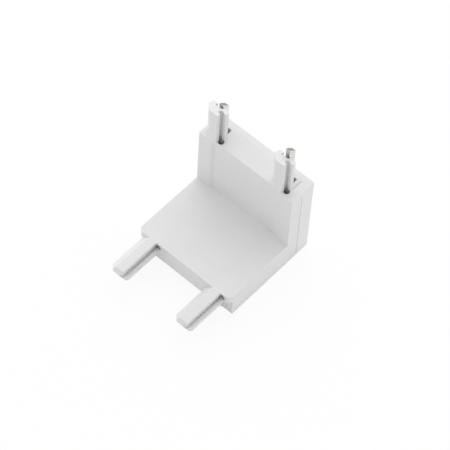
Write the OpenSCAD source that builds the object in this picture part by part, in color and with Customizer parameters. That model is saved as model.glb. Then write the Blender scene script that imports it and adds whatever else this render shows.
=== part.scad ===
// Inner corner connector for low-voltage lighting track: two legs at a right angle, and at the
// end of each leg two grooved prongs that slide into the track, with a contact blade behind each.
// Millimetres. It lies on its flat leg. The upright leg stands at the back, +Z is up and the flat
// leg's prongs point along -Y. The origin is in the middle of the footprint, on the underside.

/* [Legs] */
// Width of both legs, from side to side
body_w = 33; // [32:0.5:42]
// Thickness of each leg
leg_t = 8.9; // [8.6:0.1:12]
// Length of the flat leg, from the upright leg's face to its own end
flat_len = 23.4; // [22:0.2:60]
// Height of the upright leg, from the flat leg's top to its own end
upright_h = 21.2; // [20:0.2:60]
// Thickness of the housing's faces and sides
wall = 1.6; // [1.2:0.1:2]
// Thickness of the housing's two end walls, which carry the prongs
end_wall = 2.4; // [2.2:0.1:3]
// Distance from the leg's left side to the floor of the shallow recess in the upright leg's face
recess_left = 5.4; // [5:0.1:6]
// Distance from the recess's floor to the leg's right side
recess_right = 5.3; // [5:0.1:6]
// Depth of that recess
recess_d = 0.5; // [0.2:0.05:0.6]
// Width of the slope on the recess's left side
recess_slope = 1; // [0.4:0.1:1.2]
// Width of the steeper slope on the recess's right side
recess_steep = 0.2; // [0.2:0.1:1]

/* [Covers] */
// Depth of the front housing's sides on the upright leg, up to the seam
seam_depth = 4.1; // [3.8:0.1:4.4]
// Width of the shadow line along the seam
seam_line = 0.2; // [0.1:0.05:0.3]
// Depth of the shadow line along the seam
seam_line_d = 0.4; // [0.2:0.1:0.8]
// Thickness of the back cover's back wall
cover_wall = 2; // [1.8:0.1:2.1]
// How far the back cover's top stays below the housing's top
cover_drop = 0.2; // [0.1:0.1:0.5]
// Thickness of the base cover
base_wall = 1.8; // [1.6:0.1:2.1]
// Clearance round pieces that fit into each other
fit_gap = 0.1; // [0.05:0.05:0.15]

/* [Leg ends] */
// Distance between the upright leg's right prong and the back cover's rim
flange_gap = 0.1; // [0:0.05:0.3]
// Thickness of the flat leg's lip, measured from its top
flat_lip_t = 2.8; // [2.2:0.1:3.4]
// How far the flat leg's flanges step back under the lip
flat_step = 1.5; // [0.8:0.1:1.8]
// Corner radius of the flat leg's lip
lip_r = 1.6; // [0.8:0.1:2]
// Height of the slope under the flat leg's end
slope_h = 2.3; // [1:0.1:2.6]
// Depth of that slope
slope_d = 1.5; // [0.8:0.1:1.5]
// How far the back cover's rim reaches forward over the housing
rim_reach = 0.6; // [0.3:0.1:0.8]
// Height of that rim
rim_h = 1.8; // [1.4:0.1:2]
// Clearance round that rim
rim_gap = 0.05; // [0.02:0.01:0.1]

/* [Prongs] */
// Length of each prong
prong_len = 13.5; // [10:0.5:20]
// Width of each prong, with the rail along its right side
prong_w = 6; // [5.8:0.1:6.1]
// Thickness of each prong, measured from the leg's face
prong_t = 4.2; // [4:0.1:4.6]
// How far the rail stands out to the right
rail_w = 1.2; // [1:0.1:1.3]
// Size of the bevel along the rail's back edge
rail_bevel = 0.7; // [0.3:0.1:0.8]
// Distance from the upright leg's left side to its left prong
upright_left = 0.95; // [0.9:0.05:1.2]
// Distance from the upright leg's right prong to its right side
upright_right = 2.85; // [2.6:0.05:3.1]
// Distance from the flat leg's left side to its left prong
flat_left = 1.7; // [1.6:0.05:2]
// Distance from the flat leg's right prong to its right side
flat_right = 2.1; // [1.9:0.05:2.4]
// Width of the bevel along each prong's left edge
bevel_w = 2.2; // [1.4:0.1:2.2]
// Diameter of the round groove between each prong's face and its rail
groove_d = 1.5; // [1.3:0.05:1.6]
// Distance of the groove's middle from the right side of the prong's face
groove_in = 0.3; // [0.2:0.05:0.35]
// Distance of the groove's middle from the prong's face
groove_mid = 2; // [1.9:0.05:2.05]
// Distance of the rail's front from the prong's face
rail_from = 2.3; // [2.1:0.05:2.4]
// Diameter of the round hole at the groove's root
hole_d = 1.8; // [1.4:0.1:1.9]
// Distance of the hole's middle from the right side of the prong's face
hole_out = 0.7; // [0.5:0.05:0.8]
// Distance of the hole's middle from the leg's face
hole_mid = 1.6; // [1.5:0.05:1.7]
// Size of the bevel at the flat leg's tips, on the face side
flat_tip_front = 0.4; // [0.2:0.1:0.8]
// Depth of the bevel behind that, at the tip's back
flat_tip_depth = 1.8; // [1:0.1:2.2]
// Drop of the flat leg's tips towards their back
flat_tip_drop = 1; // [0.4:0.1:1.6]
// How much shorter the upright leg's prongs are at the face
upright_tip_front = 0.7; // [0.3:0.1:1]
// How much shorter they are at their back, where their tips' slope ends
upright_tip_back = 2.4; // [1.6:0.1:2.8]
// Size of the bevels at both sides of the tip
tip_side = 1.5; // [0.6:0.1:1.8]
// Distance of the channel behind the prong from the prong's face
channel_from = 3.2; // [3.1:0.05:3.3]
// Width of the channel on the left of the blade
channel_side = 0.9; // [0.5:0.1:1]
// Length of the cradle that holds each blade inside the housing
cradle_len = 3; // [2:0.5:4]
// How far the cradle reaches from the leg's face
cradle_t = 5.3; // [5:0.1:5.6]
// Thickness of the cradle's two sides
cradle_side = 1; // [0.8:0.1:1]

/* [Contacts] */
// Width of a contact blade
contact_w = 1.3; // [1:0.1:1.5]
// Depth of a contact blade
contact_d = 2.5; // [2.3:0.1:2.7]
// Distance of a blade's front from the leg's face
contact_from = 3.8; // [3.7:0.1:4]
// Distance of a blade from its prong's left side
contact_left = 2.3; // [2.2:0.05:2.4]
// Bevel at a blade's tip
contact_bevel = 2.2; // [0.8:0.1:2.2]
// How far the upper right blade stands past its prong's tip
reach_right = 0.6; // [0:0.1:1]
// How far the other three blades stay short of their prong's tip
reach_short = 1.4; // [0.5:0.1:2.5]
// Length of a blade's tail inside the housing
tail_len = 7.5; // [7:0.5:8]
// Width of the open slot on the right of a blade, in the leg's end wall
slot_side = 1.4; // [0.5:0.1:1.7]
// Clearance round a blade
contact_gap = 0.1; // [0.05:0.05:0.15]
// Thickness of the link strips that join the two blades of one pole
link_t = 0.5; // [0.3:0.1:0.6]
// How much narrower than a blade a link strip is, on each side
link_inset = 0.2; // [0.1:0.1:0.4]
// Diameter of the rivets that join blades and links
rivet_d = 0.9; // [0.7:0.1:1]
// Diameter of a rivet's heads
rivet_head_d = 1.6; // [1.4:0.1:1.8]
// Thickness of a rivet's heads
rivet_head_t = 0.3; // [0.2:0.1:0.4]

/* [Screws] */
// Diameter of the screws' threads
screw_d = 2; // [1.8:0.1:2.2]
// Length of the threads
screw_len = 4.4; // [3.5:0.1:4.6]
// Diameter of the screws' heads
screw_head_d = 3.6; // [3.2:0.1:4]
// Thickness of the screws' heads
screw_head_t = 1; // [0.8:0.1:1.2]
// How deep the screws' heads lie below the surface
screw_sink = 0.15; // [0.1:0.05:0.2]
// Diameter of the bosses that the screws bite into
boss_d = 4.6; // [4.2:0.1:5.4]
// Height of the lower cover screw above the flat leg's top
cover_screw_low = 4; // [3:0.5:5]
// Distance of the upper cover screw from the upright leg's end
cover_screw_top = 6; // [5.5:0.5:7]
// Distance between the flat leg's right link strip and the boss beside it
boss_gap = 0.9; // [0.3:0.1:3]
// Distance of the base screws from the flat leg's end
base_screw_end = 12; // [9:0.5:13]
// Clearance between a screw or rivet and its hole
pin_gap = 0.05; // [0.02:0.01:0.1]

/* [Hidden] */
$fn = 48;

// A little extra that lets a cut pass through the surface it opens
over = 1;
half_w = body_w / 2;
cavity_w = body_w - 2 * wall;
cover_inner = leg_t - cover_wall;
base_inner = leg_t - base_wall;
cover_top = upright_h - cover_drop;
contact_to = contact_from + contact_d;
// Left sides of the prongs, left one first
upright_prongs = [upright_left - half_w, half_w - upright_right - prong_w];
flat_prongs = [flat_left - half_w, half_w - flat_right - prong_w];
// A prong's width without its rail
front_w = prong_w - rail_w;
// The tips seen from the side: distance from the prong's face, and how much shorter it is there
upright_tip = [[0, upright_tip_front], [prong_t, upright_tip_back]];
flat_tip = [
    [0, flat_tip_front], [flat_tip_front, 0],
    [prong_t - flat_tip_depth, 0], [prong_t, flat_tip_drop],
];
// The part of the upright leg's end that the front housing closes behind the seam
middle_from = fit_gap - cavity_w / 2;
middle_to = upright_prongs[1] + prong_w + flange_gap;
link_w = contact_d - 2 * link_inset;
// A rivet sits in the middle of the part of the tail that the cradle leaves free
rivet_in = end_wall + cradle_len + (tail_len - cradle_len) / 2;
rivet_depth = contact_from + contact_d / 2;
// The base screws lie equally far from the middle, the right one beside its link strip
base_screw_x = flat_prongs[1] + contact_left - link_t - boss_gap - boss_d / 2;
screw_hole_d = screw_d + 2 * pin_gap;
head_hole_d = screw_head_d + 4 * pin_gap;
head_hole_t = screw_head_t + screw_sink;
recess_cross = 0.5;
// The middle of the footprint, seen from the upright leg's face
face_y = (flat_len + prong_len - leg_t) / 2;

// Everything is drawn from the inner corner: X across, Y into the upright leg, Z up along it.
module placed() {
    translate([0, face_y, leg_t])
        children();
}

// Turns a piece of the upright leg into the same piece of the flat leg.
module on_flat_leg() {
    mirror([0, 1, 1])
        children();
}

// A box from one corner to the other.
module block(from, to) {
    translate(from)
        cube(to - from);
}

// The prong's outline, seen along it: X from its left side, Y from the leg's face.
module prong_outline() {
    difference() {
        polygon([
            [bevel_w, 0], [front_w, 0], [front_w, rail_from], [prong_w, rail_from],
            [prong_w, prong_t - rail_bevel], [prong_w - rail_bevel, prong_t],
            [0, prong_t], [0, bevel_w],
        ]);
        groove_outline();
        translate([contact_left - channel_side, channel_from])
            square([channel_side + contact_w + contact_gap, prong_t]);
    }
}

module groove_outline() {
    translate([front_w - groove_in, groove_mid])
        circle(d = groove_d);
}

// The hole through the leg's end that the groove runs into.
module hole_outline() {
    groove_outline();
    translate([front_w + hole_out, hole_mid])
        circle(d = hole_d);
}

// The prong itself, with the tip it has on its leg. Its root is at Z = 0 and reaches root deep.
module prong(root, tip) {
    intersection() {
        translate([0, 0, -root])
            linear_extrude(root + prong_len)
                prong_outline();
        rotate([90, 0, 90])
            linear_extrude(prong_w)
                polygon([
                    [0, -root],
                    for (p = tip)
                        [p[0], prong_len - p[1]],
                    [prong_t, -root],
                ]);
        translate([0, prong_t, 0])
            rotate([90, 0, 0])
                linear_extrude(prong_t)
                    polygon([
                        [0, -root],
                        [0, prong_len - tip_side],
                        [tip_side, prong_len],
                        [prong_w - tip_side, prong_len],
                        [prong_w, prong_len - tip_side],
                        [prong_w, -root],
                    ]);
    }
}

// The cradle inside the housing that holds the blade's tail.
module cradle() {
    side = contact_gap + cradle_side;
    translate([0, 0, -end_wall - cradle_len])
        linear_extrude(end_wall + cradle_len)
            difference() {
                translate([contact_left - side, wall / 2])
                    square([contact_w + 2 * side, cradle_t - wall / 2]);
                hole_outline();
                translate([contact_left - contact_gap, contact_from - contact_gap])
                    square([contact_w + 2 * contact_gap, cradle_t]);
            }
}

// The hole at the groove's root and the slot for the blade, cut through the end wall.
module root_cuts() {
    translate([0, 0, -end_wall - fit_gap]) {
        linear_extrude(end_wall + fit_gap)
            hole_outline();
        block(
            [contact_left - contact_gap, contact_from - contact_gap, 0],
            [contact_left + contact_w + slot_side, contact_to + contact_gap, end_wall + fit_gap]
        );
    }
}

// Children at both prongs' roots of the upright leg.
module at_roots() {
    for (x = upright_prongs)
        translate([x, 0, upright_h])
            children();
}

// The same on the flat leg.
module at_flat_roots() {
    for (x = flat_prongs)
        on_flat_leg()
            translate([x, 0, flat_len])
                children();
}

// The flat leg's lip, with its two rounded corners, seen from above.
module lip_outline() {
    translate([-half_w, lip_r - flat_len])
        square([body_w, flat_len - lip_r]);
    translate([lip_r - half_w, -flat_len])
        square([body_w - 2 * lip_r, lip_r + fit_gap]);
    for (side = [-1, 1])
        translate([side * (half_w - lip_r), lip_r - flat_len])
            circle(r = lip_r);
}

module flat_leg_outside() {
    translate([0, 0, -flat_lip_t])
        linear_extrude(flat_lip_t)
            lip_outline();
    block([-half_w, flat_step - flat_len, -leg_t], [half_w, 0, -flat_lip_t]);
    block(
        [flat_prongs[0], -flat_len, -leg_t],
        [flat_prongs[1] + front_w, flat_step - flat_len, -flat_lip_t]
    );
}

module upright_leg_outside() {
    block([-half_w, 0, -leg_t], [half_w, seam_depth, upright_h]);
    block(
        [middle_from, seam_depth, upright_h - end_wall],
        [middle_to, cover_inner - fit_gap, upright_h]
    );
}

// Takes the slope off the flat leg's lower edge.
module slope_cut() {
    translate([-half_w - over, 0, 0])
        rotate([90, 0, 90])
            linear_extrude(body_w + 2 * over)
                polygon([
                    [-flat_len, slope_h - leg_t],
                    [slope_d - flat_len, -leg_t],
                    [-flat_len - over, -leg_t - over],
                    [-flat_len - over, slope_h - leg_t],
                ]);
}

// The recess in the upright leg's face, with sloping sides.
module recess_cut() {
    left = recess_left - half_w;
    right = half_w - recess_right;
    linear_extrude(upright_h + over)
        polygon([
            [left - recess_slope, 0], [left, recess_d], [right, recess_d], [right + recess_steep, 0],
            [right + recess_steep, -over], [left - recess_slope, -over],
        ]);
}

// Both legs' hollow, open at the back and underneath.
module cavity() {
    half = cavity_w / 2;
    block([-half, wall, -base_inner], [half, leg_t, upright_h - end_wall]);
    block([-half, end_wall - flat_len, -leg_t - over], [half, seam_depth - wall, -wall]);
}

// Room for the back cover's rim, at the right of the upright leg's end.
module rim_cut() {
    block(
        [middle_to, seam_depth - rim_reach - rim_gap, cover_top - rim_h - rim_gap],
        [half_w + over, leg_t, upright_h + over]
    );
}

// A boss that stands on the inside of a leg's face, up to a cover's inner side.
module boss(height) {
    translate([0, wall / 2, 0])
        rotate([-90, 0, 0])
            cylinder(d = boss_d, h = height - wall / 2);
}

// The hole in a boss, measured from the cover's inner side.
module boss_hole(height, cover_t) {
    depth = screw_len - (cover_t - head_hole_t) + fit_gap;
    translate([0, height + fit_gap, 0])
        rotate([90, 0, 0])
            cylinder(d = screw_hole_d, h = depth + fit_gap);
}

// Children where a cover screw sits: 0 is the lower one, 1 the upper one.
module at_cover_screw(which) {
    translate([0, 0, which == 0 ? cover_screw_low : upright_h - cover_screw_top])
        children();
}

// Children where a base screw sits: -1 is the left one, 1 the right one.
module at_base_screw(side) {
    on_flat_leg()
        translate([side * base_screw_x, 0, flat_len - base_screw_end])
            children();
}

// A cover's hole for a screw, seen from the leg's face.
module cover_hole(inner) {
    translate([0, inner - over, 0])
        rotate([-90, 0, 0])
            cylinder(d = screw_hole_d, h = leg_t);
    translate([0, leg_t - head_hole_t, 0])
        rotate([-90, 0, 0])
            cylinder(d = head_hole_d, h = leg_t);
}

// A cover screw, in its place behind the leg's face.
module screw() {
    translate([0, leg_t - screw_sink, 0])
        rotate([90, 0, 0])
            difference() {
                union() {
                    cylinder(d = screw_head_d, h = screw_head_t);
                    cylinder(d = screw_d, h = screw_head_t + screw_len);
                }
                for (turn = [0, 90])
                    rotate(turn)
                        translate([0, 0, -over + recess_cross])
                            cube([screw_head_d * 0.6, recess_cross, 2 * over], center = true);
            }
}

// A contact blade, from its tail to its tip, with its bevel towards the back.
module blade(reach) {
    tip = prong_len + reach;
    tail = -end_wall - tail_len;
    difference() {
        translate([contact_left, 0, 0])
            rotate([90, 0, 90])
                linear_extrude(contact_w)
                    polygon([
                        [contact_from, tail],
                        [contact_from, tip],
                        [contact_to - contact_bevel, tip],
                        [contact_to, tip - contact_bevel],
                        [contact_to, tail],
                    ]);
        translate([0, rivet_depth, -rivet_in])
            rotate([0, 90, 0])
                cylinder(d = rivet_d + 2 * pin_gap, h = prong_w);
    }
}

// One pole's link strip: an arm along each leg, and a jog between them at the inner corner.
module link(pole) {
    upright_x = upright_prongs[pole] + contact_left - link_t;
    flat_x = flat_prongs[pole] + contact_left - link_t;
    near = contact_from + link_inset;
    far = near + link_w;
    top = upright_h - end_wall - cradle_len - contact_gap;
    front = flat_len - end_wall - cradle_len - contact_gap;
    difference() {
        union() {
            block([upright_x, near, -far], [upright_x + link_t, far, top]);
            block([flat_x, -front, -far], [flat_x + link_t, far, -near]);
            block([upright_x, near, -far], [flat_x + link_t, far, -near]);
        }
        translate([upright_prongs[pole], 0, upright_h])
            rivet_hole();
        on_flat_leg()
            translate([flat_prongs[pole], 0, flat_len])
                rivet_hole();
    }
}

module rivet_hole() {
    translate([contact_left - link_t - over, rivet_depth, -rivet_in])
        rotate([0, 90, 0])
            cylinder(d = rivet_d + 2 * pin_gap, h = link_t + 2 * over);
}

// A rivet through a blade's tail and its link strip.
module rivet() {
    grip = link_t + contact_w;
    translate([contact_left - link_t, rivet_depth, -rivet_in])
        rotate([0, 90, 0]) {
            cylinder(d = rivet_d, h = grip);
            translate([0, 0, -rivet_head_t])
                cylinder(d = rivet_head_d, h = rivet_head_t);
            translate([0, 0, grip])
                cylinder(d = rivet_head_d, h = rivet_head_t);
        }
}

module front_housing() {
    color("white")
        placed()
            difference() {
                union() {
                    difference() {
                        union() {
                            flat_leg_outside();
                            upright_leg_outside();
                        }
                        cavity();
                        recess_cut();
                        slope_cut();
                        rim_cut();
                    }
                    at_roots() {
                        prong(0, upright_tip);
                        cradle();
                    }
                    at_flat_roots() {
                        prong(flat_step, flat_tip);
                        cradle();
                    }
                    for (which = [0, 1])
                        at_cover_screw(which)
                            boss(cover_inner);
                    for (side = [-1, 1])
                        at_base_screw(side)
                            boss(base_inner);
                }
                at_roots()
                    root_cuts();
                at_flat_roots()
                    root_cuts();
                for (which = [0, 1])
                    at_cover_screw(which)
                        boss_hole(cover_inner, cover_wall);
                for (side = [-1, 1])
                    at_base_screw(side)
                        boss_hole(base_inner, base_wall);
            }
}

module back_cover() {
    half = cavity_w / 2;
    rim_z = cover_top - rim_h;
    slot_to = middle_to + rim_gap;
    color("whitesmoke")
        placed()
            difference() {
                union() {
                    block([-half_w, seam_depth, -leg_t], [half_w, leg_t, cover_top]);
                    block([slot_to, seam_depth - rim_reach, rim_z], [half_w, leg_t, cover_top]);
                }
                block([-half, seam_depth - over, -base_inner], [half, cover_inner, upright_h - end_wall]);
                block([-half, seam_depth - over, 0], [slot_to, cover_inner, upright_h + over]);
                for (side = [-1, 1])
                    translate([side * half_w, seam_depth, (rim_z - leg_t) / 2])
                        cube([2 * seam_line_d, 2 * seam_line, rim_z + leg_t], center = true);
                for (which = [0, 1])
                    at_cover_screw(which)
                        cover_hole(cover_inner);
            }
}

module base_cover() {
    half = cavity_w / 2 - fit_gap;
    color("whitesmoke")
        placed()
            difference() {
                block(
                    [-half, end_wall + fit_gap - flat_len, -leg_t],
                    [half, seam_depth - wall - fit_gap, -base_inner]
                );
                for (side = [-1, 1])
                    at_base_screw(side)
                        cover_hole(base_inner);
            }
}

module contact_upper_left() {
    color("silver")
        placed()
            translate([upright_prongs[0], 0, upright_h])
                blade(-reach_short);
}

module contact_upper_right() {
    color("silver")
        placed()
            translate([upright_prongs[1], 0, upright_h])
                blade(reach_right);
}

module contact_lower_left() {
    color("silver")
        placed()
            on_flat_leg()
                translate([flat_prongs[0], 0, flat_len])
                    blade(-reach_short);
}

module contact_lower_right() {
    color("silver")
        placed()
            on_flat_leg()
                translate([flat_prongs[1], 0, flat_len])
                    blade(-reach_short);
}

module link_left() {
    color("orange")
        placed()
            link(0);
}

module link_right() {
    color("orange")
        placed()
            link(1);
}

module rivet_upper_left() {
    color("silver")
        placed()
            translate([upright_prongs[0], 0, upright_h])
                rivet();
}

module rivet_upper_right() {
    color("silver")
        placed()
            translate([upright_prongs[1], 0, upright_h])
                rivet();
}

module rivet_lower_left() {
    color("silver")
        placed()
            on_flat_leg()
                translate([flat_prongs[0], 0, flat_len])
                    rivet();
}

module rivet_lower_right() {
    color("silver")
        placed()
            on_flat_leg()
                translate([flat_prongs[1], 0, flat_len])
                    rivet();
}

module cover_screw_upper() {
    color("gray")
        placed()
            at_cover_screw(1)
                screw();
}

module cover_screw_lower() {
    color("gray")
        placed()
            at_cover_screw(0)
                screw();
}

module base_screw_left() {
    color("gray")
        placed()
            at_base_screw(-1)
                screw();
}

module base_screw_right() {
    color("gray")
        placed()
            at_base_screw(1)
                screw();
}

front_housing();
back_cover();
base_cover();
contact_upper_left();
contact_upper_right();
contact_lower_left();
contact_lower_right();
link_left();
link_right();
rivet_upper_left();
rivet_upper_right();
rivet_lower_left();
rivet_lower_right();
cover_screw_upper();
cover_screw_lower();
base_screw_left();
base_screw_right();
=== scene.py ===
import math

import bmesh
import bpy
from bpy.props import FloatProperty, FloatVectorProperty, PointerProperty
from mathutils import Matrix, Vector


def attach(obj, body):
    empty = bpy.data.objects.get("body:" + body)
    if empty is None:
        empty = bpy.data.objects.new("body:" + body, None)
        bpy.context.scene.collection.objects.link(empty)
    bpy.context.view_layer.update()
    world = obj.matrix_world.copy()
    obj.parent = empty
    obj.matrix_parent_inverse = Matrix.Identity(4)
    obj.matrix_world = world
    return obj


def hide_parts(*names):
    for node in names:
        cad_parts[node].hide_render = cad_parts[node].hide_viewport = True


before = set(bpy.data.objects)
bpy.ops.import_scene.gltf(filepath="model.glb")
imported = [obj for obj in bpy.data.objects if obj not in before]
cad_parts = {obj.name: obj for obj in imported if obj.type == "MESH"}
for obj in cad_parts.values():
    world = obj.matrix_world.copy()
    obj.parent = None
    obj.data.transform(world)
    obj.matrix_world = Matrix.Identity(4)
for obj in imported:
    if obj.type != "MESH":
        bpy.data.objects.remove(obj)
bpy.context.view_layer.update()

bl_info = {
    "name": "Track Corner Connector",
    "version": (1, 0, 0),
    "blender": (4, 5, 0),
    "location": "3D View > Sidebar > Connector",
    "description": "Dresses a lighting track's corner connector in moulded plastic and plated metal",
    "category": "Object",
}

BODY = "root"
MM = 0.001
X, Y, Z = 0, 1, 2
CONTACTS = ("contact_upper_left", "contact_upper_right", "contact_lower_left", "contact_lower_right")
LINKS = ("link_left", "link_right")
RIVETS = ("rivet_upper_left", "rivet_upper_right", "rivet_lower_left", "rivet_lower_right")
COVER_SCREWS = ("cover_screw_upper", "cover_screw_lower")
BASE_SCREWS = ("base_screw_left", "base_screw_right")

# Corners of a solid this close are one corner, and faces this flat to each other one face
MERGE_DISTANCE = 0.001 * MM
MERGE_ANGLE = math.radians(0.5)
# Edges sharper than this are rounded, in so many steps
EDGE_ANGLE = math.radians(12)
EDGE_STEPS = 2
FASTENER_EDGE_ANGLE = math.radians(30)
LINK_EDGE_RADIUS = 0.05 * MM

PLASTIC_IOR = 1.5

# The faces of a blade by their normals: a tip face leans along the blade, a side faces sideways
TIP_LEAN = 0.3
SIDE_LEAN = 0.5
# The cut attribute's values: how dull each kind of face is, and how dark with painted shade by the way
# that it faces
TIP_DULL_SHADE, FRONT_DULL_SHADE, SIDE_DULL_SHADE = 1.0, 0.3, 0.0
# A fully cut face: its painted shade colour as a share of the metal's, and what is added to the roughness
CUT_PAINTED_SHADE = 0.42
CUT_ROUGHNESS = 0.16

# Turned profiles, as points of (share of the radius, share of the height): a rivet's head from its
# rim to its crown, and a screw's head from its face down
RIVET_DOME = ((1.0, 0.0), (1.0, 0.3), (0.9, 0.62), (0.68, 0.86), (0.36, 1.0))
SCREW_HEAD = ((0.72, 0.0), (0.9, -0.08), (0.98, -0.26), (1.0, -0.5), (1.0, -0.92), (0.96, -1.0))
RIVET_HEAD_HEIGHT = 0.3 * MM
SHANK_SIDES = 24
# Length of the cross recess's arms, as a share of the screw head's diameter
RECESS_REACH = 0.6
# How far below the head's face the screw's core ends, as a share of the head's height
CORE_TOP = 0.6
# In pitches: the thread's start above the screw's tip, and how much shorter than the shank it is
THREAD_START = 0.6
THREAD_SHORTER = 1.5

# Width of the camera's sensor in mm, and the nearest and farthest distance that it sees
SENSOR_WIDTH = 36
CAMERA_NEAR, CAMERA_FAR = 0.05, 5
# Half the floor's width
FLOOR_REACH = 2.0
# Share of the floor's look that is an even white glow. The rest takes the light and the shadow.
FLOOR_GLOW = 0.88
# How bright the room is towards each of its sides
ROOM_FRONT, ROOM_BACK = 0.68, 1.16
ROOM_LEFT, ROOM_RIGHT = 1.36, 0.78
# Each lamp's direction from the object, its share of the key light's power, and its width
LAMPS = {
    "key": ((-0.45, 0.6, 0.8), 1.0, 0.5),
    "side": ((0.95, 0.3, 0.5), 0.3, 0.6),
}
# The lamps' distance from the point that they light
LAMP_DISTANCE = 0.6
LAMP_AIM = Vector((0, 0, 0.015))


class PlasticSettings(bpy.types.PropertyGroup):
    """Colours and surface of the moulded pieces."""

    housing_colour: FloatVectorProperty(
        name="Housing colour", description="Colour of the L-shaped housing",
        subtype="COLOR", size=3, min=0, max=1, default=(0.80, 0.80, 0.80))
    cover_colour: FloatVectorProperty(
        name="Cover colour", description="Colour of the two covers",
        subtype="COLOR", size=3, min=0, max=1, default=(0.82, 0.82, 0.82))
    roughness: FloatProperty(
        name="Roughness", description="Roughness of the moulded surface",
        subtype="FACTOR", min=0, max=1, default=0.5)
    edge_radius: FloatProperty(
        name="Edge radius", description="Radius of the moulded edges",
        subtype="DISTANCE", unit="LENGTH", min=0.00002, max=0.0005, default=0.00018)


class MetalSettings(bpy.types.PropertyGroup):
    """Colours of the metal pieces, and the details of the fasteners."""

    nickel_colour: FloatVectorProperty(
        name="Nickel", description="Colour of the contact blades",
        subtype="COLOR", size=3, min=0, max=1, default=(0.78, 0.765, 0.73))
    copper_colour: FloatVectorProperty(
        name="Copper", description="Colour of the link strips",
        subtype="COLOR", size=3, min=0, max=1, default=(0.72, 0.42, 0.27))
    zinc_colour: FloatVectorProperty(
        name="Zinc", description="Colour of the screws",
        subtype="COLOR", size=3, min=0, max=1, default=(0.56, 0.57, 0.59))
    rivet_colour: FloatVectorProperty(
        name="Rivet steel", description="Colour of the rivets",
        subtype="COLOR", size=3, min=0, max=1, default=(0.66, 0.65, 0.63))
    blade_radius: FloatProperty(
        name="Blade edge", description="Radius of the contact blades' edges",
        subtype="DISTANCE", unit="LENGTH", min=0.00001, max=0.0003, default=0.00005)
    thread_pitch: FloatProperty(
        name="Thread pitch", description="Distance between the screws' thread crests",
        subtype="DISTANCE", unit="LENGTH", min=0.0002, max=0.001, default=0.0006)
    thread_depth: FloatProperty(
        name="Thread depth", description="Depth of the screws' thread",
        subtype="DISTANCE", unit="LENGTH", min=0.0001, max=0.0004, default=0.00025)
    recess_width: FloatProperty(
        name="Recess width", description="Width of the cross recess in the screws' heads",
        subtype="DISTANCE", unit="LENGTH", min=0.0002, max=0.001, default=0.0005)


class StageSettings(bpy.types.PropertyGroup):
    """Camera, floor and lamps."""

    azimuth: FloatProperty(
        name="Azimuth", description="Camera's direction, 0 looks along +Y",
        subtype="ANGLE", unit="ROTATION", default=math.radians(38.574))
    elevation: FloatProperty(
        name="Elevation", description="Camera's height above the horizon",
        subtype="ANGLE", unit="ROTATION", default=math.radians(56.39))
    roll: FloatProperty(
        name="Roll", description="Camera's turn about its own axis",
        subtype="ANGLE", unit="ROTATION", default=math.radians(4.009))
    distance: FloatProperty(
        name="Distance", description="Camera's distance from its aim",
        subtype="DISTANCE", unit="LENGTH", default=0.65136)
    aim: FloatVectorProperty(
        name="Aim", description="Point in the middle of the picture",
        subtype="TRANSLATION", unit="LENGTH", size=3, default=(0.00223, 0.00429, 0.01513))
    lens: FloatProperty(
        name="Lens", description="Focal length for a sensor 36 mm wide",
        default=194.44)
    room_light: FloatProperty(
        name="Room light", description="Brightness of the pale room all round",
        default=0.91, min=0)
    key_light: FloatProperty(
        name="Key light", description="Power of the soft lamp above the left side",
        unit="POWER", default=0.45, min=0)


# Node trees

def add(tree, kind, values=None, **settings):
    """A new node with its settings, and with values for some of its inputs."""
    made = tree.nodes.new(kind)
    for key, value in settings.items():
        setattr(made, key, value)
    for key, value in (values or {}).items():
        made.inputs[key].default_value = value
    return made


def feed(tree, socket, value):
    """Links an output to a socket, or sets the socket to a constant."""
    if isinstance(value, bpy.types.NodeSocket):
        tree.links.new(value, socket)
    else:
        socket.default_value = value


def maths(tree, operation, *values):
    """The result of a maths operation on outputs and constants."""
    made = add(tree, "ShaderNodeMath", operation=operation)
    for socket, value in zip(made.inputs, values):
        feed(tree, socket, value)
    return made.outputs[0]


def vector(tree, x=0.0, y=0.0, z=0.0):
    """A vector of outputs and constants."""
    made = add(tree, "ShaderNodeCombineXYZ")
    for socket, value in zip(made.inputs, (x, y, z)):
        feed(tree, socket, value)
    return made.outputs[0]


def new_material(name):
    """A material with its tree, its surface shader and its Object coordinates."""
    material = bpy.data.materials.new(name)
    material.use_nodes = True
    tree = material.node_tree
    place = add(tree, "ShaderNodeTexCoord").outputs["Object"]
    return material, tree, tree.nodes["Principled BSDF"], place


def noise(tree, place, size, detail, stretch=(1, 1, 1)):
    """Noise whose lumps measure about size metres, drawn out along the axes with a small stretch."""
    mapping = add(tree, "ShaderNodeMapping", {"Scale": stretch})
    tree.links.new(place, mapping.inputs["Vector"])
    made = add(tree, "ShaderNodeTexNoise", {"Scale": 1 / size, "Detail": detail, "Roughness": 0.55})
    tree.links.new(mapping.outputs[0], made.inputs["Vector"])
    return made.outputs[0]


def spread(tree, value, low, high, to_low, to_high):
    """Maps low..high to to_low..to_high, and clamps."""
    made = add(tree, "ShaderNodeMapRange", {
        "From Min": low, "From Max": high, "To Min": to_low, "To Max": to_high})
    tree.links.new(value, made.inputs["Value"])
    return made.outputs[0]


def shade(tree, factor, first, second):
    """Mixes two colours, or a colour output with a colour."""
    made = add(tree, "ShaderNodeMix", data_type="RGBA")
    tree.links.new(factor, made.inputs["Factor"])
    for socket, colour in ((made.inputs[6], first), (made.inputs[7], second)):
        if isinstance(colour, bpy.types.NodeSocket):
            tree.links.new(colour, socket)
        else:
            socket.default_value = (*colour, 1)
    return made.outputs[2]


def bump(tree, shader, layers):
    """Adds bump layers of (height output, strength, depth in metres)."""
    last = None
    for height, strength, depth in layers:
        made = add(tree, "ShaderNodeBump", {"Strength": strength, "Distance": depth})
        tree.links.new(height, made.inputs["Height"])
        if last:
            tree.links.new(last, made.inputs["Normal"])
        last = made.outputs[0]
    tree.links.new(last, shader.inputs["Normal"])


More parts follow.
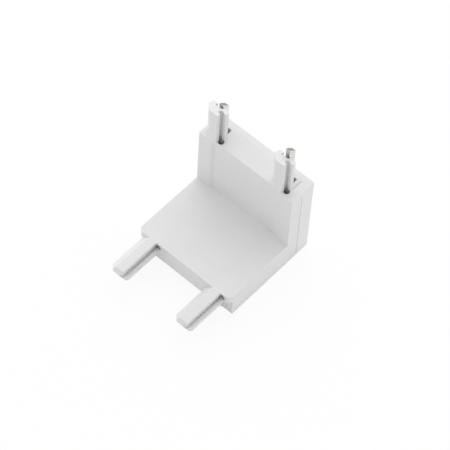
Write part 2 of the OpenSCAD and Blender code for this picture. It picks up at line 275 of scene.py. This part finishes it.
def edge_mask(tree, radius):
    """1 along the edges and corners, 0 on flat faces."""
    soft = add(tree, "ShaderNodeBevel", {"Radius": radius}, samples=6)
    plain = add(tree, "ShaderNodeNewGeometry")
    same = add(tree, "ShaderNodeVectorMath", operation="DOT_PRODUCT")
    tree.links.new(soft.outputs[0], same.inputs[0])
    tree.links.new(plain.outputs["Normal"], same.inputs[1])
    flat, sharp = 0.995, 0.9
    return spread(tree, same.outputs["Value"], flat, sharp, 0, 1)


def tint(colour, factor):
    """A colour made lighter or darker by a factor."""
    return tuple(min(1.0, channel * factor) for channel in colour)


def moulded_plastic(name, colour, roughness):
    """White plastic from a finely eroded mould, less rough along its edges and lightened there with a
    painted highlight.
    """
    material, tree, shader, place = new_material(name)
    clouds = noise(tree, place, size=7 * MM, detail=2)
    flow = noise(tree, place, size=1.6 * MM, detail=4, stretch=(0.3, 1, 1))
    grain = noise(tree, place, size=0.16 * MM, detail=2)
    edges = edge_mask(tree, radius=0.3 * MM)
    darker, lighter = tint(colour, 0.985), tint(colour, 1.01)
    flow_mark, edge_highlight = tint(colour, 0.97), tint(colour, 1.05)
    body = shade(tree, spread(tree, clouds, 0.35, 0.65, 0, 1), darker, lighter)
    mottled = shade(tree, spread(tree, flow, 0.3, 0.8, 0, 0.5), body, flow_mark)
    # Painted highlight: the base colour is lighter along the edges; the lower roughness there is the real
    # polish
    edge_lit = shade(tree, spread(tree, edges, 0, 1, 0, 0.5), mottled, edge_highlight)
    tree.links.new(edge_lit, shader.inputs["Base Color"])
    rough = spread(tree, flow, 0.3, 0.7, roughness - 0.04, roughness + 0.06)
    polish = spread(tree, edges, 0, 1, 0, 0.12)
    tree.links.new(maths(tree, "SUBTRACT", rough, polish), shader.inputs["Roughness"])
    shader.inputs["IOR"].default_value = PLASTIC_IOR
    bump(tree, shader, ((clouds, 0.25, 0.02 * MM), (grain, 0.35, 0.008 * MM)))
    return material


def worked_metal(name, colour, roughness, along=(1, 1, 1), painted_shade_colour=None):
    """Metal with fine drawing lines, tarnish in patches, and edges lightened with a painted highlight.

    Where a colour for the marked faces is given, the faces that the attribute "cut" marks are duller, and
    darker with painted shade.
    """
    material, tree, shader, place = new_material(name)
    lines = noise(tree, place, size=0.09 * MM, detail=3, stretch=along)
    patches = noise(tree, place, size=1.4 * MM, detail=4)
    edges = edge_mask(tree, radius=0.12 * MM)
    tarnish, scratch, edge_glint = tint(colour, 0.82), tint(colour, 0.86), tint(colour, 1.28)
    body = shade(tree, spread(tree, patches, 0.4, 0.75, 0, 1), colour, tarnish)
    drawn = shade(tree, spread(tree, lines, 0.35, 0.7, 0, 0.5), body, scratch)
    rough = spread(tree, lines, 0.3, 0.7, roughness - 0.06, roughness + 0.08)
    if painted_shade_colour:
        cut = add(tree, "ShaderNodeAttribute", attribute_name="cut").outputs["Fac"]
        # Painted shade: the faces that the attribute marks take the darker colour
        drawn = shade(tree, cut, drawn, painted_shade_colour)
        rough = maths(tree, "MULTIPLY_ADD", cut, CUT_ROUGHNESS, rough)
    # Painted highlight: the base colour is lighter along the edges
    bright = shade(tree, spread(tree, edges, 0, 1, 0, 0.75), drawn, edge_glint)
    tree.links.new(bright, shader.inputs["Base Color"])
    tree.links.new(rough, shader.inputs["Roughness"])
    shader.inputs["Metallic"].default_value = 1
    bump(tree, shader, ((lines, 0.3, 0.006 * MM), (patches, 0.2, 0.01 * MM)))
    return material


# Meshes

def merged_mesh(node):
    """A copy of a solid's mesh with its triangles joined to plain faces."""
    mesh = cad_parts[node].data.copy()
    bm = bmesh.new()
    bm.from_mesh(mesh)
    bmesh.ops.remove_doubles(bm, verts=bm.verts, dist=MERGE_DISTANCE)
    bmesh.ops.dissolve_limit(
        bm, angle_limit=MERGE_ANGLE, verts=bm.verts, edges=bm.edges, delimit={"NORMAL"})
    bmesh.ops.recalc_face_normals(bm, faces=bm.faces)
    bm.to_mesh(mesh)
    bm.free()
    return mesh


def place_mesh(mesh, name):
    """A new object for a mesh, at the origin."""
    piece = bpy.data.objects.new(name, mesh)
    bpy.context.scene.collection.objects.link(piece)
    return piece


def soften(piece, radius):
    """Rounds a piece's edges and leaves its flat faces flat."""
    for polygon in piece.data.polygons:
        polygon.use_smooth = True
    piece.data.set_sharp_from_angle(angle=EDGE_ANGLE)
    bevel = piece.modifiers.new("edges", "BEVEL")
    bevel.width = radius
    bevel.segments = EDGE_STEPS
    bevel.limit_method = "ANGLE"
    bevel.angle_limit = EDGE_ANGLE
    bevel.use_clamp_overlap = True
    bevel.harden_normals = True


def dress(piece, material, slot, *nodes):
    """Gives a piece its material and its body, and hides the nodes it stands for. The slot is not used.
    """
    piece.data.materials.clear()
    piece.data.materials.append(material)
    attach(piece, BODY)
    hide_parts(*nodes)


def box_of(node):
    """The lowest and the highest corner of a solid."""
    points = [v.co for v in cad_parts[node].data.vertices]
    return (
        Vector([min(p[i] for p in points) for i in range(3)]),
        Vector([max(p[i] for p in points) for i in range(3)]),
    )


# Moulded pieces and metal strips

class CONNECTOR_OT_housing(bpy.types.Operator):
    """Builds the housing with its four prongs"""

    bl_idname = "connector.housing"
    bl_label = "Housing"

    def execute(self, context):
        plastic = context.scene.connector_plastic
        material = moulded_plastic("housing_plastic", plastic.housing_colour, plastic.roughness)
        piece = place_mesh(merged_mesh("front_housing"), "housing")
        soften(piece, plastic.edge_radius)
        dress(piece, material, "housing_plastic", "front_housing")
        return {"FINISHED"}


class CONNECTOR_OT_covers(bpy.types.Operator):
    """Builds the back cover and the base cover"""

    bl_idname = "connector.covers"
    bl_label = "Covers"

    def execute(self, context):
        plastic = context.scene.connector_plastic
        material = moulded_plastic("cover_plastic", plastic.cover_colour, plastic.roughness)
        for node in ("back_cover", "base_cover"):
            piece = place_mesh(merged_mesh(node), node + "_moulded")
            soften(piece, plastic.edge_radius)
            dress(piece, material, "cover_plastic", node)
        return {"FINISHED"}


class CONNECTOR_OT_contacts(bpy.types.Operator):
    """Builds the four contact blades"""

    bl_idname = "connector.contacts"
    bl_label = "Contact blades"

    def execute(self, context):
        metal = context.scene.connector_metal
        nickel = metal.nickel_colour
        painted_shade_colour = tint(nickel, CUT_PAINTED_SHADE)
        upright = worked_metal("nickel_upright", nickel, 0.3, (1, 1, 0.06), painted_shade_colour)
        flat = worked_metal("nickel_flat", nickel, 0.3, (1, 0.06, 1), painted_shade_colour)
        for node in CONTACTS:
            mesh = merged_mesh(node)
            cut = mesh.attributes.new("cut", "FLOAT", "FACE")
            along = Z if "upper" in node else Y
            # Painted shade by facing: tips darkest, fronts a little, sides none; the tips are also really
            # duller
            for polygon in mesh.polygons:
                tip = abs(polygon.normal[along]) > TIP_LEAN
                side = abs(polygon.normal[X]) > SIDE_LEAN
                cut.data[polygon.index].value = TIP_DULL_SHADE if tip else SIDE_DULL_SHADE if side else FRONT_DULL_SHADE
            piece = place_mesh(mesh, node.replace("contact", "blade"))
            soften(piece, metal.blade_radius)
            dress(piece, upright if "upper" in node else flat, "contact_nickel", node)
        return {"FINISHED"}


class CONNECTOR_OT_links(bpy.types.Operator):
    """Builds the two link strips inside the housing"""

    bl_idname = "connector.links"
    bl_label = "Link strips"

    def execute(self, context):
        metal = context.scene.connector_metal
        material = worked_metal("link_copper", metal.copper_colour, 0.34, (1, 0.4, 0.4))
        for node in LINKS:
            piece = place_mesh(merged_mesh(node), node + "_strip")
            soften(piece, LINK_EDGE_RADIUS)
            dress(piece, material, "link_copper", node)
        return {"FINISHED"}


# Fasteners, made with Geometry Nodes

def new_tree(name, inputs):
    """A Geometry Nodes tree with named inputs of (name, kind, default)."""
    tree = bpy.data.node_groups.new(name, "GeometryNodeTree")
    tree.interface.new_socket("Geometry", in_out="INPUT", socket_type="NodeSocketGeometry")
    for label, kind, default in inputs:
        socket = tree.interface.new_socket(label, in_out="INPUT", socket_type=kind)
        if default is not None:
            socket.default_value = default
    tree.interface.new_socket("Geometry", in_out="OUTPUT", socket_type="NodeSocketGeometry")
    return tree, add(tree, "NodeGroupInput"), add(tree, "NodeGroupOutput")


def finish_tree(tree, source, target, shape):
    """Puts the shape on each point, turned, realised and with its material."""
    links = tree.links
    spots = add(tree, "GeometryNodeInstanceOnPoints")
    links.new(source.outputs["Geometry"], spots.inputs["Points"])
    links.new(shape, spots.inputs["Instance"])
    links.new(source.outputs["Turn"], spots.inputs["Rotation"])
    real = add(tree, "GeometryNodeRealizeInstances")
    links.new(spots.outputs[0], real.inputs[0])
    painted = add(tree, "GeometryNodeSetMaterial")
    links.new(real.outputs[0], painted.inputs["Geometry"])
    links.new(source.outputs["Material"], painted.inputs["Material"])
    links.new(painted.outputs[0], target.inputs[0])


def shifted(tree, geometry, offset, scale=None):
    """Geometry moved by an offset and, where a scale is given, scaled."""
    made = add(tree, "GeometryNodeTransform")
    tree.links.new(geometry, made.inputs["Geometry"])
    tree.links.new(offset, made.inputs["Translation"])
    if scale is not None:
        tree.links.new(scale, made.inputs["Scale"])
    return made.outputs[0]


def cylinder(tree, diameter, height):
    """A cylinder that stands on Z = 0."""
    made = add(tree, "GeometryNodeMeshCylinder", {"Vertices": SHANK_SIDES}, fill_type="NGON")
    tree.links.new(maths(tree, "MULTIPLY", diameter, 0.5), made.inputs["Radius"])
    tree.links.new(height, made.inputs["Depth"])
    return shifted(tree, made.outputs["Mesh"], vector(tree, z=maths(tree, "MULTIPLY", height, 0.5)))


def joined(tree, parts):
    """The parts as one geometry, in their order."""
    made = add(tree, "GeometryNodeJoinGeometry")
    for part in reversed(parts):
        tree.links.new(part, made.inputs[0])
    return made.outputs[0]


def lathe(tree, points, sides=40):
    """A closed turned shape round Z, from its profile's points of (radius, height) sockets."""
    rings = []
    for radius, height in points:
        ring = add(tree, "GeometryNodeMeshCircle", {"Vertices": sides, "Radius": 1.0}, fill_type="NGON")
        scale = vector(tree, radius, radius, 1.0)
        rings.append(shifted(tree, ring.outputs[0], vector(tree, z=height), scale))
    hull = add(tree, "GeometryNodeConvexHull")
    tree.links.new(joined(tree, rings), hull.inputs[0])
    return hull.outputs[0]


def rivet_tree():
    """Rivets with a shank and two domed heads, along Z from the first head's inner face."""
    tree, source, target = new_tree("rivets", (
        ("Turn", "NodeSocketRotation", None),
        ("Shank diameter", "NodeSocketFloat", 0.9 * MM),
        ("Grip", "NodeSocketFloat", 1.8 * MM),
        ("Head diameter", "NodeSocketFloat", 1.6 * MM),
        ("Head height", "NodeSocketFloat", RIVET_HEAD_HEIGHT),
        ("Material", "NodeSocketMaterial", None),
    ))
    shank = source.outputs["Shank diameter"]
    grip = source.outputs["Grip"]
    wide = maths(tree, "MULTIPLY", source.outputs["Head diameter"], 0.5)
    tall = source.outputs["Head height"]
    heads = []
    for side, base in ((-1, 0.0), (1, grip)):
        heads.append(lathe(tree, [
            (maths(tree, "MULTIPLY", wide, reach), maths(tree, "MULTIPLY_ADD", tall, side * rise, base))
            for reach, rise in RIVET_DOME
        ]))
    finish_tree(tree, source, target, joined(tree, [cylinder(tree, shank, grip), *heads]))
    return tree


def screw_head(tree, out):
    """A head that hangs from Z = 0, with a cross recess in its face."""
    radius = maths(tree, "MULTIPLY", out["Head diameter"], 0.5)
    profile = [
        (maths(tree, "MULTIPLY", radius, reach), maths(tree, "MULTIPLY", out["Head height"], drop))
        for reach, drop in SCREW_HEAD
    ]
    arm = maths(tree, "MULTIPLY", out["Head diameter"], RECESS_REACH)
    cut = add(tree, "GeometryNodeMeshBoolean", operation="DIFFERENCE", solver="EXACT")
    tree.links.new(lathe(tree, profile, sides=48), cut.inputs[0])
    for sides in ((arm, out["Recess width"]), (out["Recess width"], arm)):
        cube = add(tree, "GeometryNodeMeshCube")
        tree.links.new(vector(tree, *sides, out["Head height"]), cube.inputs["Size"])
        tree.links.new(cube.outputs["Mesh"], cut.inputs[1])
    return cut.outputs["Mesh"]


def screw_core(tree, out, full):
    """The plain shank inside the thread, from the screw's tip up into its head."""
    ridges = maths(tree, "MULTIPLY", out["Thread depth"], 2.0)
    wide = maths(tree, "SUBTRACT", out["Thread diameter"], ridges)
    tall = maths(tree, "SUBTRACT", full, maths(tree, "MULTIPLY", out["Head height"], CORE_TOP))
    return shifted(tree, cylinder(tree, wide, tall), vector(tree, z=maths(tree, "MULTIPLY", full, -1.0)))


def screw_thread(tree, out, full):
    """A three-sided ridge that winds up round the core."""
    pitch = out["Pitch"]
    height = maths(tree, "SUBTRACT", out["Length"], maths(tree, "MULTIPLY", pitch, THREAD_SHORTER))
    turns = maths(tree, "DIVIDE", height, pitch)
    outside = maths(tree, "MULTIPLY", out["Thread diameter"], 0.5)
    inside = maths(tree, "SUBTRACT", outside, out["Thread depth"])
    helix = add(tree, "GeometryNodeCurveSpiral", {"Resolution": 24})
    tree.links.new(turns, helix.inputs["Rotations"])
    tree.links.new(inside, helix.inputs["Start Radius"])
    tree.links.new(inside, helix.inputs["End Radius"])
    tree.links.new(maths(tree, "MULTIPLY", turns, pitch), helix.inputs["Height"])
    ridge = add(tree, "GeometryNodeCurvePrimitiveCircle", {"Resolution": 3}, mode="RADIUS")
    tree.links.new(out["Thread depth"], ridge.inputs["Radius"])
    swept = add(tree, "GeometryNodeCurveToMesh", {"Fill Caps": True})
    tree.links.new(helix.outputs[0], swept.inputs["Curve"])
    tree.links.new(ridge.outputs[0], swept.inputs["Profile Curve"])
    low = maths(tree, "SUBTRACT", maths(tree, "MULTIPLY", pitch, THREAD_START), full)
    return shifted(tree, swept.outputs[0], vector(tree, z=low))


def screw_tree():
    """Cross-recessed screws with a rolled thread, along Z, with the head's face at Z = 0."""
    tree, source, target = new_tree("screws", (
        ("Turn", "NodeSocketRotation", None),
        ("Head diameter", "NodeSocketFloat", 3.6 * MM),
        ("Head height", "NodeSocketFloat", 1.0 * MM),
        ("Thread diameter", "NodeSocketFloat", 2.0 * MM),
        ("Length", "NodeSocketFloat", 4.4 * MM),
        ("Pitch", "NodeSocketFloat", 0.6 * MM),
        ("Thread depth", "NodeSocketFloat", 0.25 * MM),
        ("Recess width", "NodeSocketFloat", 0.5 * MM),
        ("Material", "NodeSocketMaterial", None),
    ))
    out = source.outputs
    full = maths(tree, "ADD", out["Head height"], out["Length"])
    parts = [screw_head(tree, out), screw_core(tree, out, full), screw_thread(tree, out, full)]
    finish_tree(tree, source, target, joined(tree, parts))
    return tree


def set_inputs(modifier, values):
    """Sets a modifier's inputs by their sockets' identifiers."""
    for item in modifier.node_group.interface.items_tree:
        if item.item_type == "SOCKET" and item.in_out == "INPUT" and item.name in values:
            modifier[item.identifier] = values[item.name]


def scattered(name, tree, spots, values):
    """A plain mesh of the tree's shape on every spot."""
    mesh = bpy.data.meshes.new(name + "_spots")
    mesh.from_pydata([tuple(spot) for spot in spots], [], [])
    carrier = place_mesh(mesh, name + "_spots")
    modifier = carrier.modifiers.new("make", "NODES")
    modifier.node_group = tree
    set_inputs(modifier, values)
    graph = bpy.context.evaluated_depsgraph_get()
    made = bpy.data.meshes.new_from_object(carrier.evaluated_get(graph))
    carrier.modifiers.remove(modifier)
    bpy.data.objects.remove(carrier)
    if not made.polygons:
        raise RuntimeError(name + " came out empty")
    bm = bmesh.new()
    bm.from_mesh(made)
    bmesh.ops.recalc_face_normals(bm, faces=bm.faces)
    bm.to_mesh(made)
    bm.free()
    for polygon in made.polygons:
        polygon.use_smooth = True
    made.set_sharp_from_angle(angle=FASTENER_EDGE_ANGLE)
    return place_mesh(made, name)


class CONNECTOR_OT_rivets(bpy.types.Operator):
    """Builds the rivets that join blades and links"""

    bl_idname = "connector.rivets"
    bl_label = "Rivets"

    def execute(self, context):
        metal = context.scene.connector_metal
        material = worked_metal("rivet_steel", metal.rivet_colour, 0.3)
        head = RIVET_HEAD_HEIGHT
        spots = []
        for node in RIVETS:
            low, high = box_of(node)
            spots.append(Vector((low.x + head, (low.y + high.y) / 2, (low.z + high.z) / 2)))
            grip = high.x - low.x - 2 * head
        piece = scattered("rivets", rivet_tree(), spots, {
            "Turn": (0, math.pi / 2, 0), "Grip": grip, "Head height": head,
            "Head diameter": high.z - low.z, "Material": material})
        dress(piece, material, "rivet_steel", *RIVETS)
        return {"FINISHED"}


class CONNECTOR_OT_screws(bpy.types.Operator):
    """Builds the screws of both covers"""

    bl_idname = "connector.screws"
    bl_label = "Screws"

    def execute(self, context):
        metal = context.scene.connector_metal
        material = worked_metal("screw_steel", metal.zinc_colour, 0.34)
        tree = screw_tree()
        # The heads' faces lie at the cover screws' highest Y and at the base screws' lowest Z
        for name, nodes, turn, axis in (
            ("cover_screws", COVER_SCREWS, (-math.pi / 2, 0, 0), Y),
            ("base_screws", BASE_SCREWS, (math.pi, 0, 0), Z),
        ):
            spots = []
            for node in nodes:
                low, high = box_of(node)
                spot = (low + high) / 2
                spot[axis] = high[axis] if axis == Y else low[axis]
                spots.append(spot)
            piece = scattered(name, tree, spots, {
                "Turn": turn, "Head diameter": high.x - low.x, "Pitch": metal.thread_pitch,
                "Thread depth": metal.thread_depth, "Recess width": metal.recess_width,
                "Material": material})
            dress(piece, material, "screw_steel", *nodes)
        return {"FINISHED"}


# Stage

class CONNECTOR_OT_stage(bpy.types.Operator):
    """Sets the floor, the lamps and the camera"""

    bl_idname = "connector.stage"
    bl_label = "Stage"

    def execute(self, context):
        stage = context.scene.connector_stage
        place_camera(context.scene, stage)
        make_floor()
        make_world(context.scene, stage.room_light)
        make_lamps(stage.key_light)
        context.scene.view_settings.view_transform = "Standard"
        return {"FINISHED"}


def place_camera(scene, stage):
    """A camera that looks at the aim from the stage's azimuth and elevation."""
    data = bpy.data.cameras.new("camera")
    camera = bpy.data.objects.new("camera", data)
    scene.collection.objects.link(camera)
    scene.camera = camera
    az, el = stage.azimuth, stage.elevation
    back = Vector((math.sin(az) * math.cos(el), -math.cos(az) * math.cos(el), math.sin(el)))
    right = Vector((math.cos(az), math.sin(az), 0))
    up = back.cross(right)
    turned = math.cos(stage.roll) * right + math.sin(stage.roll) * up
    upright = back.cross(turned)
    camera.matrix_world = Matrix.Translation(Vector(stage.aim) + stage.distance * back) @ Matrix(
        (turned, upright, back)).transposed().to_4x4()
    data.sensor_width = SENSOR_WIDTH
    data.lens = stage.lens
    data.clip_start = CAMERA_NEAR
    data.clip_end = CAMERA_FAR


def seen_directly(tree):
    """1 for rays from the camera, from a gloss and through glass."""
    path = add(tree, "ShaderNodeLightPath")
    either = maths(tree, "MAXIMUM", path.outputs["Is Camera Ray"], path.outputs["Is Glossy Ray"])
    return maths(tree, "MAXIMUM", either, path.outputs["Is Transmission Ray"])


def make_floor():
    """A white floor that keeps the object's shadow."""
    far = FLOOR_REACH
    mesh = bpy.data.meshes.new("floor")
    mesh.from_pydata([(-far, -far, 0), (far, -far, 0), (far, far, 0), (-far, far, 0)], [], [(0, 1, 2, 3)])
    floor = place_mesh(mesh, "floor")
    material = bpy.data.materials.new("floor")
    material.use_nodes = True
    tree = material.node_tree
    paint = add(tree, "ShaderNodeBsdfDiffuse", {"Color": (1, 1, 1, 1)})
    glow = add(tree, "ShaderNodeEmission", {"Color": (1, 1, 1, 1), "Strength": 1.0})
    mix = add(tree, "ShaderNodeMixShader")
    tree.links.new(maths(tree, "MULTIPLY", seen_directly(tree), FLOOR_GLOW), mix.inputs[0])
    tree.links.new(paint.outputs[0], mix.inputs[1])
    tree.links.new(glow.outputs[0], mix.inputs[2])
    tree.links.new(mix.outputs[0], tree.nodes["Material Output"].inputs["Surface"])
    mesh.materials.append(material)


def make_world(scene, brightness):
    """A pale room, brighter behind and on the left, that the camera sees as plain white."""
    world = bpy.data.worlds.new("room")
    world.use_nodes = True
    scene.world = world
    tree = world.node_tree
    links = tree.links
    room = tree.nodes["Background"]
    room.inputs["Strength"].default_value = brightness
    way = add(tree, "ShaderNodeTexCoord").outputs["Generated"]
    part = add(tree, "ShaderNodeSeparateXYZ")
    links.new(way, part.inputs[0])
    depth = spread(tree, part.outputs["Y"], -1.0, 1.0, ROOM_FRONT, ROOM_BACK)
    side = spread(tree, part.outputs["X"], -1.0, 1.0, ROOM_LEFT, ROOM_RIGHT)
    level = maths(tree, "MULTIPLY", depth, side)
    colour = add(tree, "ShaderNodeCombineColor")
    for socket in colour.inputs[:3]:
        links.new(level, socket)
    links.new(colour.outputs[0], room.inputs["Color"])
    white = add(tree, "ShaderNodeBackground", {"Color": (1, 1, 1, 1), "Strength": 1.0})
    mix = add(tree, "ShaderNodeMixShader")
    links.new(seen_directly(tree), mix.inputs[0])
    links.new(room.outputs[0], mix.inputs[1])
    links.new(white.outputs[0], mix.inputs[2])
    links.new(mix.outputs[0], tree.nodes["World Output"].inputs["Surface"])


def make_lamps(power):
    """The soft key lamp above the left side and a weaker one on the right."""
    for name, (direction, share, size) in LAMPS.items():
        data = bpy.data.lights.new(name, "AREA")
        data.energy = power * share
        data.size = size
        lamp = bpy.data.objects.new(name, data)
        bpy.context.scene.collection.objects.link(lamp)
        outward = Vector(direction).normalized()
        lamp.location = outward * LAMP_DISTANCE + LAMP_AIM
        lamp.rotation_euler = outward.to_track_quat("Z", "Y").to_euler()


class CONNECTOR_PT_panel(bpy.types.Panel):
    """Lists the connector's pieces"""

    bl_label = "Track corner connector"
    bl_idname = "CONNECTOR_PT_panel"
    bl_space_type = "VIEW_3D"
    bl_region_type = "UI"
    bl_category = "Connector"

    def draw(self, context):
        for operator in OPERATORS:
            self.layout.operator(operator.bl_idname)


OPERATORS = (
    CONNECTOR_OT_housing, CONNECTOR_OT_covers, CONNECTOR_OT_contacts, CONNECTOR_OT_links,
    CONNECTOR_OT_rivets, CONNECTOR_OT_screws, CONNECTOR_OT_stage,
)
SETTINGS = (PlasticSettings, MetalSettings, StageSettings)


def register():
    for cls in (*SETTINGS, *OPERATORS, CONNECTOR_PT_panel):
        bpy.utils.register_class(cls)
    bpy.types.Scene.connector_plastic = PointerProperty(type=PlasticSettings)
    bpy.types.Scene.connector_metal = PointerProperty(type=MetalSettings)
    bpy.types.Scene.connector_stage = PointerProperty(type=StageSettings)


def unregister():
    del bpy.types.Scene.connector_stage
    del bpy.types.Scene.connector_metal
    del bpy.types.Scene.connector_plastic
    for cls in reversed((*SETTINGS, *OPERATORS, CONNECTOR_PT_panel)):
        bpy.utils.unregister_class(cls)


def main():
    register()
    bpy.ops.connector.housing()
    bpy.ops.connector.covers()
    bpy.ops.connector.contacts()
    bpy.ops.connector.links()
    bpy.ops.connector.rivets()
    bpy.ops.connector.screws()
    bpy.ops.connector.stage()


if __name__ == "__main__":
    main()
